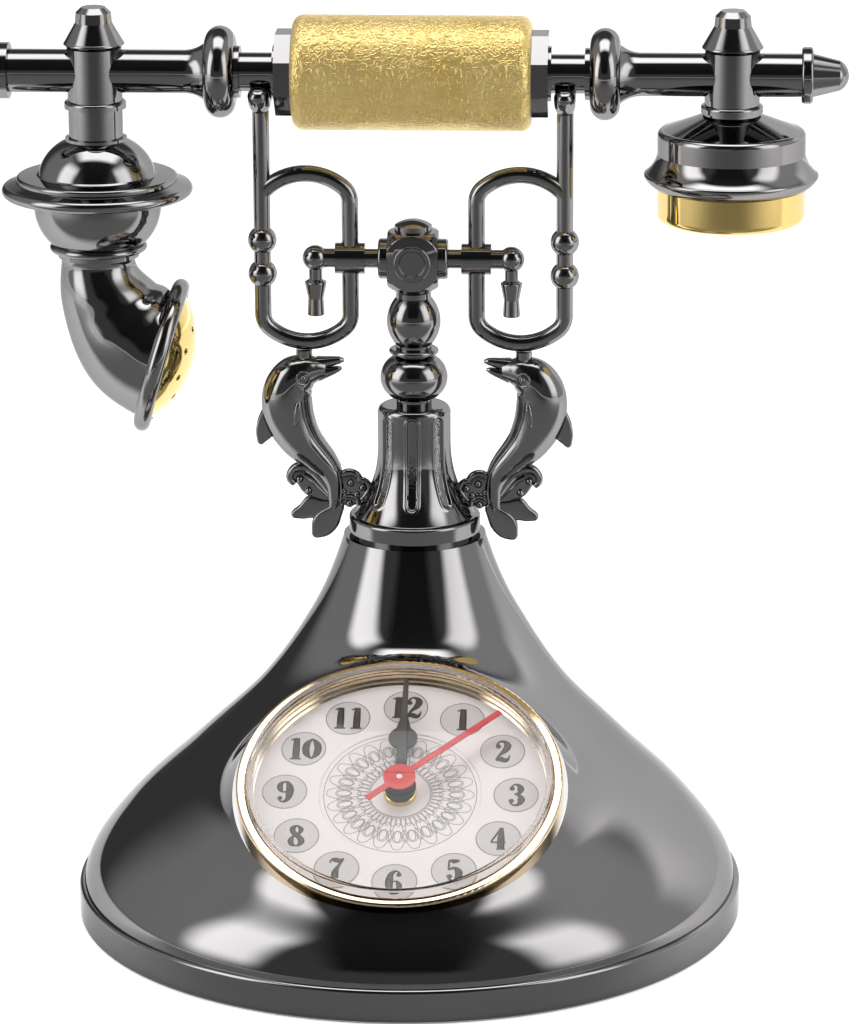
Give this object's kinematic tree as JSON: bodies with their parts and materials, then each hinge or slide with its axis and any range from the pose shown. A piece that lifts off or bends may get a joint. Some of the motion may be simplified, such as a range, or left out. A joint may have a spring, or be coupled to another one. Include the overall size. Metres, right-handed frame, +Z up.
{
  "type": "cradle telephone clock",
  "caption": "Table clock in the shape of an old cradle telephone: round leaning clock on a bell-shaped base, turned column, bent-rod cradle and loose handset.",
  "frame": {"origin": "centre of the round base on the table", "axes": "+Z up, -Y towards the front where the clock faces, +X to the right seen from the front"},
  "size_m": [0.1762, 0.1388, 0.1863],
  "materials": {
    "black_nickel": "black-nickel plating, mirror polished",
    "gold": "gold plating, mirror polished",
    "hammered_gold": "gold plating over a hammered texture",
    "crystal": "clear moulded",
    "dial": "printed card on a plate",
    "brass": "turned",
    "steel": "plated",
    "case_plastic": "moulded",
    "wheel_plastic": "moulded",
    "magnet": "bonded magnet",
    "copper": "enamelled wire winding",
    "board": "circuit board",
    "cell": "plain wrap",
    "black_hand": "black lacquer",
    "red_hand": "red lacquer"
  },
  "bodies": {
    "stand": {"base_plate": "black_nickel", "base_shell": "black_nickel", "column_socket": "black_nickel", "baluster_post": "black_nickel", "cross_block": "black_nickel", "block_cap": "black_nickel", "roundels": "black_nickel", "left_arm": "black_nickel", "right_arm": "black_nickel", "left_tap_drop": "black_nickel", "right_tap_drop": "black_nickel", "left_cradle_loop": "black_nickel", "right_cradle_loop": "black_nickel", "left_cradle_fork": "black_nickel", "right_cradle_fork": "black_nickel", "left_dolphin": "black_nickel", "right_dolphin": "black_nickel", "clock_bezel": "gold", "clock_crystal": "crystal", "dial_plate": "dial", "hub_nut": "brass", "base_screws": "steel", "column_bolt": "steel", "battery_contacts": "steel", "motor_stator": "steel", "movement_case": "case_plastic", "movement_cover": "case_plastic", "motor_coil": "copper", "circuit_board": "board", "battery_cell": "cell"},
    "handset": {"grip_sleeve": "hammered_gold", "grip_tie_rod": "steel", "left_grip_nut": "black_nickel", "right_grip_nut": "black_nickel", "left_bar": "black_nickel", "right_bar": "black_nickel", "transmitter_cap": "black_nickel", "transmitter_bell": "black_nickel", "transmitter_cup": "black_nickel", "mouth_horn": "black_nickel", "mouthpiece_grille": "gold", "receiver_cap": "black_nickel", "receiver_cup": "black_nickel", "ear_ring": "gold"},
    "battery_cover": {"battery_cover": "case_plastic"},
    "second_arbor": {"second_wheel": "wheel_plastic", "second_hand": "red_hand"},
    "third_arbor": {"third_wheel": "wheel_plastic"},
    "minute_arbor": {"centre_wheel": "wheel_plastic", "minute_hand": "black_hand"},
    "relay_arbor": {"minute_wheel": "wheel_plastic"},
    "hour_arbor": {"hour_wheel": "wheel_plastic", "hour_hand": "black_hand"},
    "intermediate_arbor": {"intermediate_wheel": "wheel_plastic"},
    "rotor_arbor": {"rotor": "magnet"},
    "knob_arbor": {"set_knob": "case_plastic"}
  },
  "joints": [
    {"name": "handset_lift", "type": "slide", "parent": "stand", "child": "handset", "axis": [0, 0, 1], "range_m": [0, 0.08]},
    {"name": "battery_cover_twist", "type": "hinge", "parent": "stand", "child": "battery_cover", "pos_m": [0, -0.033, 0.0014], "axis": [0, 0, 1], "range_deg": [0, 45]},
    {"name": "second_turn", "type": "hinge", "parent": "stand", "child": "second_arbor", "pos_m": [0, -0.032, 0.0383], "axis": [0, 0.4848, -0.8746], "continuous": true},
    {"name": "third_turn", "type": "hinge", "parent": "stand", "child": "third_arbor", "pos_m": [-0.00886, -0.03063, 0.03906], "axis": [0, 0.4848, -0.8746], "continuous": true},
    {"name": "minute_turn", "type": "hinge", "parent": "stand", "child": "minute_arbor", "pos_m": [0, -0.032, 0.0383], "axis": [0, 0.4848, -0.8746], "continuous": true},
    {"name": "relay_turn", "type": "hinge", "parent": "stand", "child": "relay_arbor", "pos_m": [0.00886, -0.03063, 0.03906], "axis": [0, 0.4848, -0.8746], "continuous": true},
    {"name": "hour_turn", "type": "hinge", "parent": "stand", "child": "hour_arbor", "pos_m": [0, -0.032, 0.0383], "axis": [0, 0.4848, -0.8746], "continuous": true},
    {"name": "intermediate_turn", "type": "hinge", "parent": "stand", "child": "intermediate_arbor", "pos_m": [0.00246, -0.02397, 0.04275], "axis": [0, 0.4848, -0.8746], "continuous": true},
    {"name": "rotor_turn", "type": "hinge", "parent": "stand", "child": "rotor_arbor", "pos_m": [0.00753, -0.02279, 0.04341], "axis": [0, 0.4848, -0.8746], "continuous": true},
    {"name": "knob_turn", "type": "hinge", "parent": "stand", "child": "knob_arbor", "pos_m": [0.01732, -0.03333, 0.03757], "axis": [0, 0.4848, -0.8746], "continuous": true}
  ],
  "couplings": [
    {"joint": "third_turn", "follows": "second_turn", "ratio": -0.13333},
    {"joint": "minute_turn", "follows": "second_turn", "ratio": 0.016667},
    {"joint": "relay_turn", "follows": "second_turn", "ratio": -0.0055556},
    {"joint": "hour_turn", "follows": "second_turn", "ratio": 0.0013889},
    {"joint": "intermediate_turn", "follows": "second_turn", "ratio": -5},
    {"joint": "rotor_turn", "follows": "second_turn", "ratio": 30},
    {"joint": "knob_turn", "follows": "second_turn", "ratio": 0.016667}
  ]
}
